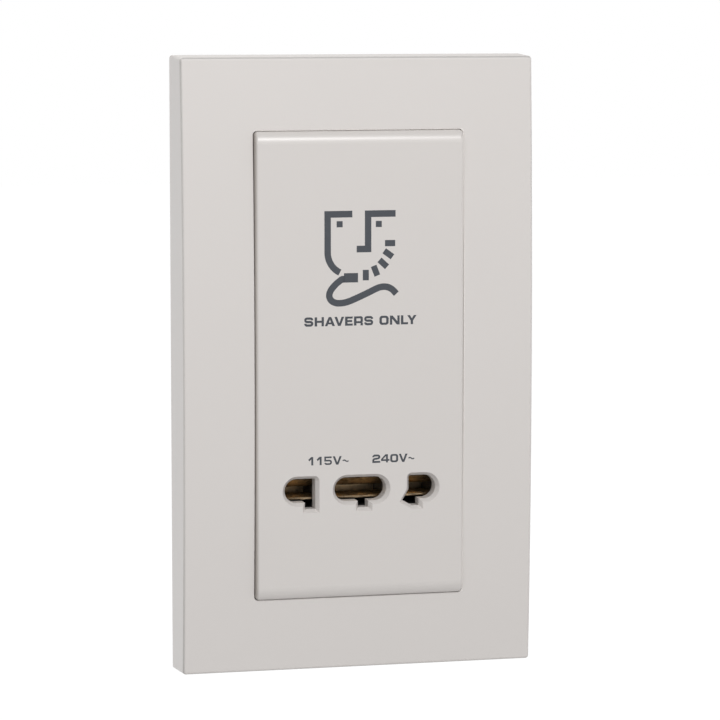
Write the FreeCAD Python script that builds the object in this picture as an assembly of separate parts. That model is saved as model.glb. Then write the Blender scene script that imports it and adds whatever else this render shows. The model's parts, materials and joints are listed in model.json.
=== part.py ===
import FreeCAD, Part
import math
import os

from FreeCAD import Vector

# Dual-voltage shaver socket on a two-gang plate. Sizes are in millimetres.
# X runs across the plate, Z up it, and Y into the wall, with the wall's face at Y = 0.

# Surround frame
plate_width = 86.0
plate_height = 146.0
end_border = 17.6            # face width above and below the window
rim_depth = 10.5             # depth at the top and bottom edges
bow = 2.0                    # extra depth at mid height
side_draft = 0.4             # taper of each outer wall over the rim's depth
frame_wall = 2.2
frame_corner_radius = 0.8
frame_edge_radius = 0.6
window_edge_radius = 0.25
window_corner_radius = 0.9
collar_wall = 1.8            # wall round the window, behind the face
frame_rib = 1.2
side_rib_pitch = 24.0
side_rib_count = 4
end_rib_spacing = 26.0

# Socket plate in the window, as wide as the contact carrier and its skirt need
window_side_gap = 0.12
window_end_gap = 0.1
plate_rise = 0.45            # its flat face in front of the surround's, at mid height
plate_wall = 2.2
skirt_wall = 1.8
shoulder_radius = 4.0        # rounding towards its top and bottom edges
shoulder_run = 2.9           # how far in from those edges the rounding starts
plate_edge_radius = 0.8
plate_corner_radius = 0.9
aperture_rise = 25.75        # aperture centre line above the plate's lower edge
aperture_depth = 4.4         # plate wall and pad together
mouth_depth = 1.3            # depth of the tapered mouth of each aperture
mouth_width = 0.75           # how far the taper widens it at the face
pad_margin = 2.4

# Apertures: places along X from the plate's centre, heights from the aperture centre line
pin_radius = 2.85            # rounded ends, for pins up to 5 mm
notch_drop = 4.45            # foot of the blade notches
left_round = -18.2
left_straight = -10.75
blade_notch = 2.55
middle_left = -6.05
middle_right = 6.6
middle_notch = -0.4
right_straight = 12.1
right_round = 18.7
right_notch = 14.6
slant_angle = 30.0           # lean of the slanted blade slot
slant_start = 0.5            # where the slanted edge leaves the straight one, below the centre line
slant_length = 3.0
aperture_corner = 0.5

# Contacts and their carrier
contact_thickness = 0.5
contact_bend = 0.6
contact_crest = 0.6          # half the gap between the leaves of a contact at rest
contact_drop = 0.6           # that gap, below the aperture's centre line
contact_mouth = 3.4          # crest, from the carrier's front
contact_lip = 0.5            # lip, from the carrier's front
contact_flare = 2.35         # lips, above and below the aperture's centre line
contact_gap = 0.15
contact_tail_width = 4.0
contact_tail = 5.0           # length of tail behind the carrier
pocket_half = 4.6
pocket_margin = 0.5          # pocket wider than its aperture, each side
pocket_depth = 11.0
carrier_back_wall = 2.5
carrier_wall = 1.8
carrier_web = 1.0            # between a pocket and a screw hole
carrier_side_gap = 2.53      # carrier to the socket plate's skirt
carrier_edge = 1.0

# Mounting grid
grid_thickness = 1.5
grid_gap = 1.5               # between its edge and the surround's wall
grid_corner_radius = 4.0
fixing_inset = 12.7          # fixing hole centre, from the end of the plate
fixing_hole_radius = 2.1
grid_window_margin = 0.6     # between the carrier and the grid's window
grid_ledge = 1.2             # grid inside the socket plate's skirt

# Snap hooks of the surround and of the socket plate
hook_width = 5.0
hook_thickness = 1.6
hook_nose = 0.8
hook_reach = 2.4             # tip, behind the wall's face
hook_play = 0.1
hook_hole_gap = 0.3
frame_hook_x = 22.0
frame_hook_setback = 2.4     # hook, from the window's collar
plate_hook_x = 12.0

# Screws
screw_gap = 0.05             # between a screw's thread and its pilot hole
hole_gap = 0.3               # between a screw and a clearance hole
head_clearance = 0.6
small_screw_radius = 1.25
small_head_radius = 2.4
small_head_height = 1.6
housing_screw_radius = 1.45
housing_head_radius = 2.75
housing_head_height = 1.9
housing_screw_bite = 9.0
plate_screw_bite = 3.0
driver_slot = 0.7
driver_depth = 0.8
head_crown_share = 0.75      # of a head's radius, where its crown is measured

# Transformer, from scrapless E and I laminations
leg_width = 8.0              # outer legs, yokes and windows
stack_depth = 16.0
core_gap = 4.5               # core above the contact carrier
core_side_gap = 2.0          # core under the housing's step
bobbin_wall = 1.0
bobbin_flange = 1.2
bobbin_gap = 0.3
winding_inset = 0.7          # winding inside the edge of the flanges
winding_radius = 3.0
lamination_hole_gap = 0.2
cutout_width = 10.0
cutout_thickness = 4.0
cutout_end_gap = 0.6

# Rear housing
housing_depth = 36.0
housing_wall = 2.0
housing_corner_radius = 3.0
step_depth = 15.0            # depth of the shallow end that carries the terminals
boss_radius = 3.2
boss_inset = 4.6             # screw boss, from the outer faces
pillar_radius = 3.0
coil_clearance = 0.8         # winding flange to the back wall
vent_width = 1.8
vent_length = 24.0
vent_pitch = 4.5
vent_count = 7

# Mains terminals
block_depth = 13.0
block_height = 14.0
block_clearance = 1.0        # block to the housing's step
block_wall = 1.5
terminal_pitch = 11.0
terminal_width = 7.0
terminal_depth = 8.5
terminal_gap = 0.15
wire_radius = 1.9            # wire tunnel
terminal_screw_radius = 1.4
tail_width = 3.0
tail_thickness = 0.8
tail_reach = 6.0             # terminal tail inside the housing
tail_slot_gap = 0.2
strap_thickness = 0.5
strap_width = 4.0
strap_foot = 5.0
strap_bend = 0.6

# Leads
lead_radius = 0.9
lead_drop = 3.0              # straight run forward from a terminal's tail
lead_bend_share = 0.45       # of the shorter run at a bend, taken up by its arc

# Places worked out from those sizes
carrier_half_x = max(-left_round, right_round) + pocket_margin + carrier_wall
insert_half_x = carrier_half_x + carrier_side_gap + skirt_wall
window_width = 2 * (insert_half_x + window_side_gap)
window_height = plate_height - 2 * end_border
insert_half_z = window_height / 2 - window_end_gap
front_half = plate_height / 2 - side_draft
front_radius = (front_half ** 2 + bow ** 2) / (2 * bow)
front_centre = front_radius - rim_depth - bow
reach = rim_depth + 2 * bow
overshoot = 1.0
same_point = 1e-6
on_face_limit = 1e-4
aperture_z = aperture_rise - insert_half_z
carrier_screw_drop = pocket_half + carrier_web + small_screw_radius + hole_gap
carrier_half_z = carrier_screw_drop + small_head_radius + head_clearance
carrier_top = aperture_z + carrier_half_z
carrier_bottom = aperture_z - carrier_half_z
carrier_depth = pocket_depth + carrier_back_wall
core_bottom = carrier_top + core_gap
core_top = core_bottom + 5 * leg_width
core_back = housing_depth - housing_wall - leg_width - coil_clearance
core_front = core_back - stack_depth
core_y = (core_front + core_back) / 2
window_bottom_z = core_bottom + leg_width
window_top_z = core_bottom + 4 * leg_width
step_z = core_top + core_side_gap + housing_wall
block_bottom = step_z + block_clearance
block_top = block_bottom + block_height
terminal_z = (block_bottom + block_top) / 2
housing_top = block_top + housing_wall
grid_window_bottom = carrier_bottom - grid_window_margin - hook_thickness - hook_play
grid_window_top = step_z + block_clearance + hook_thickness
grid_window_half_x = insert_half_x - skirt_wall - grid_ledge
housing_bottom = grid_window_bottom - hook_nose - head_clearance - housing_wall
housing_screw_x = insert_half_x + housing_head_radius + head_clearance
housing_half_x = housing_screw_x + boss_inset
boss_depth = step_depth - housing_wall
fixing_z = plate_height / 2 - fixing_inset
frame_hook_z = window_height / 2 + collar_wall + frame_hook_setback
collar_back = -(grid_thickness + housing_head_height + head_clearance)


def front_y(z, behind):
    """Depth of the bowed front at height z, measured behind the surround's face."""
    return front_centre - math.sqrt((front_radius - behind) ** 2 - z ** 2)


face_y = front_y(0, -plate_rise)
throat_y = face_y + mouth_depth
pad_back = face_y + aperture_depth
carrier_back = pad_back + carrier_depth


def across(y):
    """Places a flat (x, z) outline on the plane at depth y."""
    return lambda u, v: Vector(u, y, v)


def upright(x):
    """Places a flat (y, z) outline on the plane at x."""
    return lambda u, v: Vector(x, u, v)


def box(x, y, z):
    """A block from three (low, high) pairs."""
    size = [high - low for low, high in (x, y, z)]
    return Part.makeBox(size[0], size[1], size[2], Vector(x[0], y[0], z[0]))


def rounded_wire(corners, place):
    """Closed wire through (u, v, radius) corners, each rounded by a tangent arc."""
    stops = []
    for index, (u, v, radius) in enumerate(corners):
        here = Vector(u, v, 0)
        if radius == 0:
            stops.append((here, None, here))
            continue
        before = (Vector(*corners[index - 1][:2], 0) - here).normalize()
        after = (Vector(*corners[(index + 1) % len(corners)][:2], 0) - here).normalize()
        half = before.getAngle(after) / 2
        middle = (before + after).normalize()
        setback = radius / math.tan(half)
        crown = here + middle * (radius / math.sin(half) - radius)
        stops.append((here + before * setback, crown, here + after * setback))
    edges = []
    last = stops[-1][2]
    for start, crown, end in stops:
        if start.distanceToPoint(last) > same_point:
            edges.append(Part.makeLine(place(last.x, last.y), place(start.x, start.y)))
        if crown is not None:
            ends = [place(point.x, point.y) for point in (start, crown, end)]
            edges.append(Part.Arc(*ends).toShape())
        last = end
    return Part.Wire(edges)


def grown(corners, grow):
    """The same outline, listed clockwise, with every edge moved outwards by grow."""
    result = []
    for index, (u, v, radius) in enumerate(corners):
        here = Vector(u, v, 0)
        along_in = (here - Vector(*corners[index - 1][:2], 0)).normalize()
        along_out = (Vector(*corners[(index + 1) % len(corners)][:2], 0) - here).normalize()
        normal_in = Vector(-along_in.y, along_in.x, 0)
        normal_out = Vector(-along_out.y, along_out.x, 0)
        bisector = normal_in + normal_out
        moved = here + bisector * (2 * grow / bisector.Length ** 2)
        outer = along_in.cross(along_out).z < 0
        if radius > 0:
            radius += grow if outer else -grow
        result.append((moved.x, moved.y, radius))
    return result


def rectangle(half_u, half_v, radius):
    """Corners of a rectangle about the origin, clockwise."""
    return [(-half_u, -half_v, radius), (-half_u, half_v, radius),
            (half_u, half_v, radius), (half_u, -half_v, radius)]


def prism(corners, low, high):
    """An (x, z) outline carried from depth low to depth high."""
    return Part.Face(rounded_wire(corners, across(low))).extrude(Vector(0, high - low, 0))


def strip(points, thickness, bend, x_low, x_high):
    """A bent metal strip: a (y, z) centre line with thickness, carried across x."""
    left, right = [], []
    for index, (u, v) in enumerate(points):
        here = Vector(u, v, 0)
        runs = []
        if index > 0:
            runs.append((here - Vector(*points[index - 1], 0)).normalize())
        if index < len(points) - 1:
            runs.append((Vector(*points[index + 1], 0) - here).normalize())
        normals = [Vector(-run.y, run.x, 0) for run in runs]
        side = sum(normals, Vector())
        side = side * (len(normals) * thickness / 2 / side.Length ** 2)
        turn = runs[0].cross(runs[-1]).z
        inner, outer = (bend, bend + thickness) if len(runs) == 2 else (0, 0)
        if turn < 0:
            inner, outer = outer, inner
        left.append((here.x + side.x, here.y + side.y, inner))
        right.append((here.x - side.x, here.y - side.y, outer))
    outline = rounded_wire(left + right[::-1], upright(x_low))
    return Part.Face(outline).extrude(Vector(x_high - x_low, 0, 0))


def bowed_slab(behind, back):
    """Everything from depth back to the bowed front, behind its face."""
    half_x = plate_width
    half_z = plate_height / 2
    edge = front_y(half_z, behind)
    crown = front_y(0, behind)
    low, high = Vector(-half_x, edge, -half_z), Vector(-half_x, edge, half_z)
    edges = [Part.Arc(low, Vector(-half_x, crown, 0), high).toShape(),
             Part.makeLine(high, Vector(-half_x, back, half_z)),
             Part.makeLine(Vector(-half_x, back, half_z), Vector(-half_x, back, -half_z)),
             Part.makeLine(Vector(-half_x, back, -half_z), low)]
    return Part.Face(Part.Wire(edges)).extrude(Vector(2 * half_x, 0, 0))


def drafted_block(inset, back):
    """The surround's tapered outline, moved inwards by inset, from depth back to past its front."""
    wires = []
    for depth in (back, -reach):
        inwards = inset - side_draft * depth / rim_depth
        outline = rectangle(plate_width / 2 - inwards, plate_height / 2 - inwards, frame_corner_radius)
        wires.append(rounded_wire(outline, across(depth)))
    return Part.makeLoft(wires, True, True)


def front_edges(shape, behind, half_x, half_z):
    """Edges of shape on the bowed face, within half_x and half_z of the centre."""
    found = []
    for edge in shape.Edges:
        middle = edge.valueAt((edge.FirstParameter + edge.LastParameter) / 2)
        ends = [vertex.Point for vertex in edge.Vertexes] + [middle]
        on_face = all(abs(point.y - front_y(point.z, behind)) < on_face_limit for point in ends)
        inside = all(abs(point.x) < half_x and abs(point.z) < half_z for point in ends)
        if on_face and inside:
            found.append(edge)
    return found


def snap_hook(x, edge_z, toward, root):
    """Arm from depth root whose nose catches behind the grid at the edge at edge_z."""
    face = edge_z - toward * hook_play
    back = face - toward * hook_thickness
    corners = [(root, face), (hook_play, face), (hook_play, face + toward * hook_nose),
               (hook_reach, face), (hook_reach, back), (root, back), (root, face)]
    outline = Part.makePolygon([Vector(x - hook_width / 2, y, z) for y, z in corners])
    return Part.Face(outline).extrude(Vector(hook_width, 0, 0))


def screw(seat, direction, radius, length, head_radius, head_height):
    """Slotted pan-head screw with its head seated at a point and its shank along direction."""
    crown = head_height / 3
    profile = [Part.makeLine(Vector(0, 0, length), Vector(radius, 0, length)),
               Part.makeLine(Vector(radius, 0, length), Vector(radius, 0, 0)),
               Part.makeLine(Vector(radius, 0, 0), Vector(head_radius, 0, 0)),
               Part.makeLine(Vector(head_radius, 0, 0), Vector(head_radius, 0, crown - head_height)),
               Part.Arc(Vector(head_radius, 0, crown - head_height),
                        Vector(head_radius * head_crown_share, 0, crown / 3 - head_height),
                        Vector(0, 0, -head_height)).toShape(),
               Part.makeLine(Vector(0, 0, -head_height), Vector(0, 0, length))]
    turned = Part.Face(Part.Wire(profile)).revolve(Vector(), Vector(0, 0, 1), 360)
    slot = box((-driver_slot / 2, driver_slot / 2), (-head_radius, head_radius),
               (-head_height, driver_depth - head_height))
    turned = turned.cut(slot)
    turned.Placement = FreeCAD.Placement(seat, FreeCAD.Rotation(Vector(0, 0, 1), direction))
    return turned


def hole(start, direction, radius, length):
    """Round hole to cut from a piece."""
    return Part.makeCylinder(radius, length, start, direction)


def lead(points):
    """Insulated wire along straight runs joined by the largest arcs that the runs allow."""
    route = [Vector(*point) for point in points]
    edges = []
    last = route[0]
    for before, here, after in zip(route, route[1:], route[2:]):
        back = (before - here).normalize()
        onward = (after - here).normalize()
        half_turn = (math.pi - back.getAngle(onward)) / 2
        setback = lead_bend_share * min(before.distanceToPoint(here), after.distanceToPoint(here))
        radius = setback / math.tan(half_turn)
        middle = (back + onward).normalize()
        crown = here + middle * (radius / math.cos(half_turn) - radius)
        start, end = here + back * setback, here + onward * setback
        edges += [Part.makeLine(last, start), Part.Arc(start, crown, end).toShape()]
        last = end
    edges.append(Part.makeLine(last, route[-1]))
    ring = Part.Wire(Part.makeCircle(lead_radius, route[0], route[1] - route[0]))
    return Part.Wire(edges).makePipeShell([ring], True, False)


# Surround frame

def fixing_points():
    return [Vector(0, 0, side * fixing_z) for side in (-1, 1)]


def frame_hooks():
    return [(x, side) for x in (-frame_hook_x, frame_hook_x) for side in (-1, 1)]


def surround_frame():
    body = drafted_block(0, 0).common(bowed_slab(0, 0))
    body = body.makeFillet(frame_edge_radius, front_edges(body, 0, plate_width, plate_height))
    body = body.cut(drafted_block(frame_wall, overshoot).common(bowed_slab(frame_wall, overshoot)))
    backing = bowed_slab(frame_wall / 2, -grid_thickness)
    collar = rectangle(window_width / 2 + collar_wall, window_height / 2 + collar_wall, collar_wall)
    extras = [prism(collar, -reach, collar_back).common(backing)]
    rib_half = plate_width / 2 - frame_wall / 2 - side_draft
    for step in range(side_rib_count):
        z = (step - (side_rib_count - 1) / 2) * side_rib_pitch
        rib = box((-rib_half, rib_half), (-reach, 0), (z - frame_rib / 2, z + frame_rib / 2))
        extras.append(rib.common(backing))
    end_half = plate_height / 2 - frame_wall / 2 - side_draft
    for x in (-end_rib_spacing / 2, end_rib_spacing / 2):
        rib = box((x - frame_rib / 2, x + frame_rib / 2), (-reach, 0), (-end_half, end_half))
        extras.append(rib.common(backing))
    for x, side in frame_hooks():
        root = front_y(frame_hook_z, frame_wall / 2)
        extras.append(snap_hook(x, side * (frame_hook_z + hook_play), side, root))
    body = body.fuse(extras).removeSplitter()
    window = rectangle(window_width / 2, window_height / 2, window_corner_radius)
    body = body.cut(prism(window, -reach, overshoot))
    rim = front_edges(body, 0, window_width / 2 + overshoot, window_height / 2 + overshoot)
    return body.makeFillet(window_edge_radius, rim)


# Socket plate

def left_aperture():
    """Rounded at its left, straight at its right, with a blade notch below."""
    top, foot = aperture_z + pin_radius, aperture_z - pin_radius
    drop = aperture_z - notch_drop
    notch = left_straight - blade_notch
    return [(left_round, foot, pin_radius), (left_round, top, pin_radius),
            (left_straight, top, aperture_corner), (left_straight, drop, 0),
            (notch, drop, 0), (notch, foot, 0)]


def middle_aperture():
    """Rounded at both ends, with a blade notch below its middle."""
    top, foot = aperture_z + pin_radius, aperture_z - pin_radius
    drop = aperture_z - notch_drop
    notch = middle_notch + blade_notch
    return [(middle_left, foot, pin_radius), (middle_left, top, pin_radius),
            (middle_right, top, pin_radius), (middle_right, foot, pin_radius),
            (notch, foot, 0), (notch, drop, 0), (middle_notch, drop, 0), (middle_notch, foot, 0)]


def right_aperture():
    """Rounded at its right, with a slanted blade slot at its lower left."""
    top, foot = aperture_z + pin_radius, aperture_z - pin_radius
    drop = aperture_z - notch_drop
    lean = math.radians(slant_angle)
    slant_x = right_straight - slant_length * math.sin(lean)
    slant_z = aperture_z - slant_start - slant_length * math.cos(lean)
    heel_x = slant_x + (slant_z - drop) / math.tan(lean)
    return [(right_straight, aperture_z - slant_start, 0), (right_straight, top, aperture_corner),
            (right_round, top, pin_radius), (right_round, foot, pin_radius),
            (right_notch, foot, 0), (right_notch, drop, 0), (heel_x, drop, 0), (slant_x, slant_z, 0)]


def apertures():
    return [left_aperture(), middle_aperture(), right_aperture()]


def aperture_span(corners):
    """Lowest and highest x of an aperture."""
    across_x = [corner[0] for corner in corners]
    return min(across_x), max(across_x)


def aperture_cut(corners):
    """Straight throat with a mouth that widens towards the face."""
    throat = prism(corners, throat_y, pad_back + overshoot)
    share = (mouth_depth + overshoot) / mouth_depth
    wires = [rounded_wire(corners, across(throat_y)),
             rounded_wire(grown(corners, mouth_width * share), across(face_y - overshoot))]
    return throat.fuse(Part.makeLoft(wires, True, True))


def carrier_screw_points(depth):
    return [Vector(0, depth, aperture_z + side * carrier_screw_drop) for side in (-1, 1)]


def plate_hooks():
    sides = [(grid_window_top, 1), (grid_window_bottom, -1)]
    return [(x, edge, side) for x in (-plate_hook_x, plate_hook_x) for edge, side in sides]


def shouldered_slab():
    """The plate's side view, flat with a rounded shoulder at each end, carried across x."""
    sweep = math.asin(shoulder_run / shoulder_radius)
    flat_z = insert_half_z - shoulder_run

    def shoulder(side, part):
        angle = sweep * part
        return Vector(-insert_half_x, face_y + shoulder_radius * (1 - math.cos(angle)),
                      side * (flat_z + shoulder_radius * math.sin(angle)))

    top_foot = Vector(-insert_half_x, -grid_thickness, insert_half_z)
    low_foot = Vector(-insert_half_x, -grid_thickness, -insert_half_z)
    edges = [Part.makeLine(shoulder(-1, 0), shoulder(1, 0)),
             Part.Arc(shoulder(1, 0), shoulder(1, 0.5), shoulder(1, 1)).toShape(),
             Part.makeLine(shoulder(1, 1), top_foot),
             Part.makeLine(top_foot, low_foot),
             Part.makeLine(low_foot, shoulder(-1, 1)),
             Part.Arc(shoulder(-1, 1), shoulder(-1, 0.5), shoulder(-1, 0)).toShape()]
    return Part.Face(Part.Wire(edges)).extrude(Vector(2 * insert_half_x, 0, 0))


def socket_plate():
    body = shouldered_slab()
    upright_edges = [edge for edge in body.Edges if edge.BoundBox.YLength > edge.Length / 2
                     and edge.BoundBox.ZLength < plate_wall]
    body = body.makeFillet(plate_corner_radius, upright_edges)
    rim = [edge for edge in body.Edges if edge.BoundBox.YMax < face_y + shoulder_run]
    body = body.makeFillet(plate_edge_radius, rim)
    hollow = rectangle(insert_half_x - skirt_wall, insert_half_z - skirt_wall, 0)
    body = body.cut(prism(hollow, face_y + plate_wall, -grid_thickness))
    pad_root = face_y + plate_wall / 2
    pad = box((-carrier_half_x, carrier_half_x), (pad_root, pad_back),
              (carrier_bottom, carrier_top))
    extras = [pad]
    for x, edge, side in plate_hooks():
        extras.append(snap_hook(x, edge, side, pad_root))
    body = body.fuse(extras).removeSplitter()
    cuts = [aperture_cut(corners) for corners in apertures()]
    for point in carrier_screw_points(pad_back):
        cuts.append(hole(point, Vector(0, -1, 0), small_screw_radius + screw_gap, plate_screw_bite))
    return body.cut(cuts)


# Contacts and their carrier

def pocket_span(corners):
    low, high = aperture_span(corners)
    return low - pocket_margin, high + pocket_margin


def tail_span(corners, width):
    """Low and high x of a tail of that width on the middle of an aperture's contact."""
    low, high = pocket_span(corners)
    return (low + high - width) / 2, (low + high + width) / 2


def contact_carrier():
    depth = (pad_back, carrier_back)
    body = box((-carrier_half_x, carrier_half_x), depth, (carrier_bottom, carrier_top))
    corners = [edge for edge in body.Edges if edge.BoundBox.YLength > carrier_depth / 2]
    body = body.makeFillet(carrier_edge, corners)
    cuts = []
    for outline in apertures():
        cuts.append(box(pocket_span(outline), (pad_back, pad_back + pocket_depth),
                        (aperture_z - pocket_half, aperture_z + pocket_half)))
        slot_half = contact_thickness / 2 + contact_gap
        cuts.append(box(tail_span(outline, contact_tail_width + 2 * contact_gap), depth,
                        (aperture_z - slot_half, aperture_z + slot_half)))
    for point in carrier_screw_points(pad_back):
        cuts.append(hole(point, Vector(0, 1, 0), small_screw_radius + hole_gap, carrier_depth))
    return body.cut(cuts)


def contact(outline):
    """Two sprung leaves on one strip, narrowest at their crests, with a solder tail."""
    rear = pad_back + pocket_depth - contact_thickness / 2
    wide = pocket_half - contact_thickness / 2 - contact_gap
    crest = contact_crest + contact_thickness / 2
    lip_y, crest_y = pad_back + contact_lip, pad_back + contact_mouth
    heights = [(lip_y, contact_flare), (crest_y, crest - contact_drop), (rear, wide),
               (rear, -wide), (crest_y, -crest - contact_drop), (lip_y, -contact_flare)]
    points = [(y, aperture_z + z) for y, z in heights]
    low, high = pocket_span(outline)
    leaves = strip(points, contact_thickness, contact_bend, low + contact_gap, high - contact_gap)
    tail = box(tail_span(outline, contact_tail_width), (rear, carrier_back + contact_tail),
               (aperture_z - contact_thickness / 2, aperture_z + contact_thickness / 2))
    return leaves.fuse(tail).removeSplitter()


def carrier_screws():
    length = carrier_depth + plate_screw_bite - head_clearance
    return Part.makeCompound([screw(point, Vector(0, -1, 0), small_screw_radius, length,
                                    small_head_radius, small_head_height)
                              for point in carrier_screw_points(carrier_back)])


# Mounting grid

def housing_screw_points(depth):
    heights = (housing_bottom + boss_inset, housing_top - boss_inset)
    return [Vector(x, depth, z) for x in (-housing_screw_x, housing_screw_x) for z in heights]


def mounting_grid():
    inset = frame_wall + grid_gap
    outer = rectangle(plate_width / 2 - inset, plate_height / 2 - inset, grid_corner_radius)
    body = prism(outer, -grid_thickness, 0)
    cuts = [box((-grid_window_half_x, grid_window_half_x), (-grid_thickness, 0),
                (grid_window_bottom, grid_window_top))]
    for x, side in frame_hooks():
        caught = frame_hook_z + hook_play
        free = frame_hook_z - hook_thickness - hook_nose - hook_hole_gap
        half = hook_width / 2 + hook_hole_gap
        cuts.append(box((x - half, x + half), (-grid_thickness, 0),
                        tuple(sorted((side * caught, side * free)))))
    for point in fixing_points():
        cuts.append(hole(point, Vector(0, -1, 0), fixing_hole_radius, grid_thickness))
    for point in housing_screw_points(0):
        cuts.append(hole(point, Vector(0, -1, 0), housing_screw_radius + hole_gap, grid_thickness))
    return body.cut(cuts)


def housing_screws():
    length = grid_thickness + housing_screw_bite
    return Part.makeCompound([screw(point, Vector(0, 1, 0), housing_screw_radius, length,
                                    housing_head_radius, housing_head_height)
                              for point in housing_screw_points(-grid_thickness)])


# Rear housing

def housing_form(inset, front):
    """Stepped outline of the housing in depth and height, carried across its width."""
    deep = housing_depth - inset
    shallow = step_depth - inset
    low, high, step = housing_bottom + inset, housing_top - inset, step_z - inset
    radius = max(housing_corner_radius - inset, 0)
    corners = [(front, low, 0), (deep, low, radius), (deep, step, radius),
               (shallow, step, 0), (shallow, high, radius), (front, high, 0)]
    half = housing_half_x - inset
    outline = Part.Face(rounded_wire(corners, upright(-half)))
    return outline.extrude(Vector(2 * half, 0, 0))


def core_holes():
    """Corner holes of the laminations, as (x, z)."""
    half_x = 2.5 * leg_width
    heights = (core_bottom + leg_width / 2, core_top - leg_width / 2)
    return [(x, z) for x in (-half_x, half_x) for z in heights]


def terminal_places():
    return {"line": -terminal_pitch, "neutral": 0.0, "earth": terminal_pitch}


def tail_slots(depth):
    """Slots for the terminal tails through a wall at that (low, high) depth."""
    half_x = tail_width / 2 + tail_slot_gap
    half_z = tail_thickness / 2 + tail_slot_gap
    return [box((x - half_x, x + half_x), depth, (terminal_z - half_z, terminal_z + half_z))
            for x in terminal_places().values()]


def rear_housing():
    body = housing_form(0, 0).cut(housing_form(housing_wall, -overshoot))
    inside = housing_form(housing_wall / 2, 0)
    extras = []
    for point in housing_screw_points(0):
        extras.append(hole(point, Vector(0, 1, 0), boss_radius, boss_depth).common(inside))
    pillar = housing_depth - housing_wall / 2 - core_back
    for x, z in core_holes():
        extras.append(hole(Vector(x, core_back, z), Vector(0, 1, 0), pillar_radius, pillar))
    body = body.fuse(extras).removeSplitter()
    cuts = tail_slots((step_depth - housing_wall, step_depth))
    for point in housing_screw_points(0):
        bite = housing_screw_bite + head_clearance
        cuts.append(hole(point, Vector(0, 1, 0), housing_screw_radius + screw_gap, bite))
    for x, z in core_holes():
        pilot = small_screw_radius + screw_gap
        cuts.append(hole(Vector(x, core_back, z), Vector(0, 1, 0), pilot, core_screw_bite()))
    coil_z = (window_bottom_z + window_top_z) / 2
    back = (housing_depth - housing_wall, housing_depth)
    for step in range(vent_count):
        z = coil_z + (step - (vent_count - 1) / 2) * vent_pitch
        slot = rectangle(vent_length / 2, vent_width / 2, vent_width / 2)
        cut = prism(slot, *back)
        cut.translate(Vector(0, 0, z))
        cuts.append(cut)
    return body.cut(cuts)


# Transformer

def core_screw_bite():
    return housing_depth - housing_wall - core_back - head_clearance


def core_cut(body, heights):
    """Cuts the corner holes at those heights through a stack."""
    cuts = [hole(Vector(x, core_front, z), Vector(0, 1, 0), small_screw_radius + lamination_hole_gap,
                 stack_depth) for x, z in core_holes() if heights[0] < z < heights[1]]
    return body.cut(cuts)


def core_e_stack():
    unit = leg_width
    outline = [(-3 * unit, core_bottom, 0), (-3 * unit, window_top_z, 0), (-2 * unit, window_top_z, 0),
               (-2 * unit, window_bottom_z, 0), (-unit, window_bottom_z, 0), (-unit, window_top_z, 0),
               (unit, window_top_z, 0), (unit, window_bottom_z, 0), (2 * unit, window_bottom_z, 0),
               (2 * unit, window_top_z, 0), (3 * unit, window_top_z, 0), (3 * unit, core_bottom, 0)]
    return core_cut(prism(outline, core_front, core_back), (core_bottom, window_top_z))


def core_i_stack():
    half = 3 * leg_width
    body = box((-half, half), (core_front, core_back), (window_top_z, core_top))
    return core_cut(body, (window_top_z, core_top))


def core_screws():
    length = stack_depth + core_screw_bite() - head_clearance
    return Part.makeCompound([screw(Vector(x, core_front, z), Vector(0, 1, 0), small_screw_radius, length,
                                    small_head_radius, small_head_height) for x, z in core_holes()])


def coil_block(margin, radius, heights):
    """Block round the centre leg, margin wider than it, between two heights."""
    half_x = leg_width + margin
    half_y = stack_depth / 2 + margin
    corners = rectangle(half_x, half_y, radius)
    wire = rounded_wire(corners, lambda u, v: Vector(u, core_y + v, heights[0]))
    return Part.Face(wire).extrude(Vector(0, 0, heights[1] - heights[0]))


def bobbin_heights():
    """Heights of the three flanges, as (low, high) pairs."""
    low, high = window_bottom_z, window_top_z - bobbin_gap
    middle = (low + high) / 2
    return [(low, low + bobbin_flange), (middle - bobbin_flange / 2, middle + bobbin_flange / 2),
            (high - bobbin_flange, high)]


def bobbin():
    flanges = bobbin_heights()
    span = (flanges[0][0], flanges[-1][1])
    reach_out = leg_width - bobbin_gap
    tube = coil_block(bobbin_gap + bobbin_wall, bobbin_wall, span)
    body = tube.fuse([coil_block(reach_out, bobbin_wall, pair) for pair in flanges]).removeSplitter()
    return body.cut(coil_block(bobbin_gap, 0, span))


def winding(low_flange, high_flange):
    heights = (low_flange[1], high_flange[0])
    outer = coil_block(leg_width - bobbin_gap - winding_inset, winding_radius, heights)
    return outer.cut(coil_block(bobbin_gap + bobbin_wall, bobbin_wall, heights))


def winding_front():
    return core_y - stack_depth / 2 - leg_width + bobbin_gap + winding_inset


def cutout_heights():
    flanges = bobbin_heights()
    return flanges[1][1] + cutout_end_gap, flanges[2][0] - cutout_end_gap


def thermal_cutout():
    depth = (winding_front() - cutout_thickness, winding_front())
    body = box((-cutout_width / 2, cutout_width / 2), depth, cutout_heights())
    upright_edges = [edge for edge in body.Edges
                     if edge.BoundBox.ZLength > cutout_thickness
                     and edge.BoundBox.YMax < depth[1] - cutout_thickness / 2]
    return body.makeFillet(cutout_thickness / 4, upright_edges)


# Mains terminals

def terminal_seat():
    return step_depth + block_wall


def terminal_heights():
    return block_bottom + block_wall + terminal_gap, block_top - block_wall - terminal_gap


def wire_y():
    return terminal_seat() + block_wall + wire_radius


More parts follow.
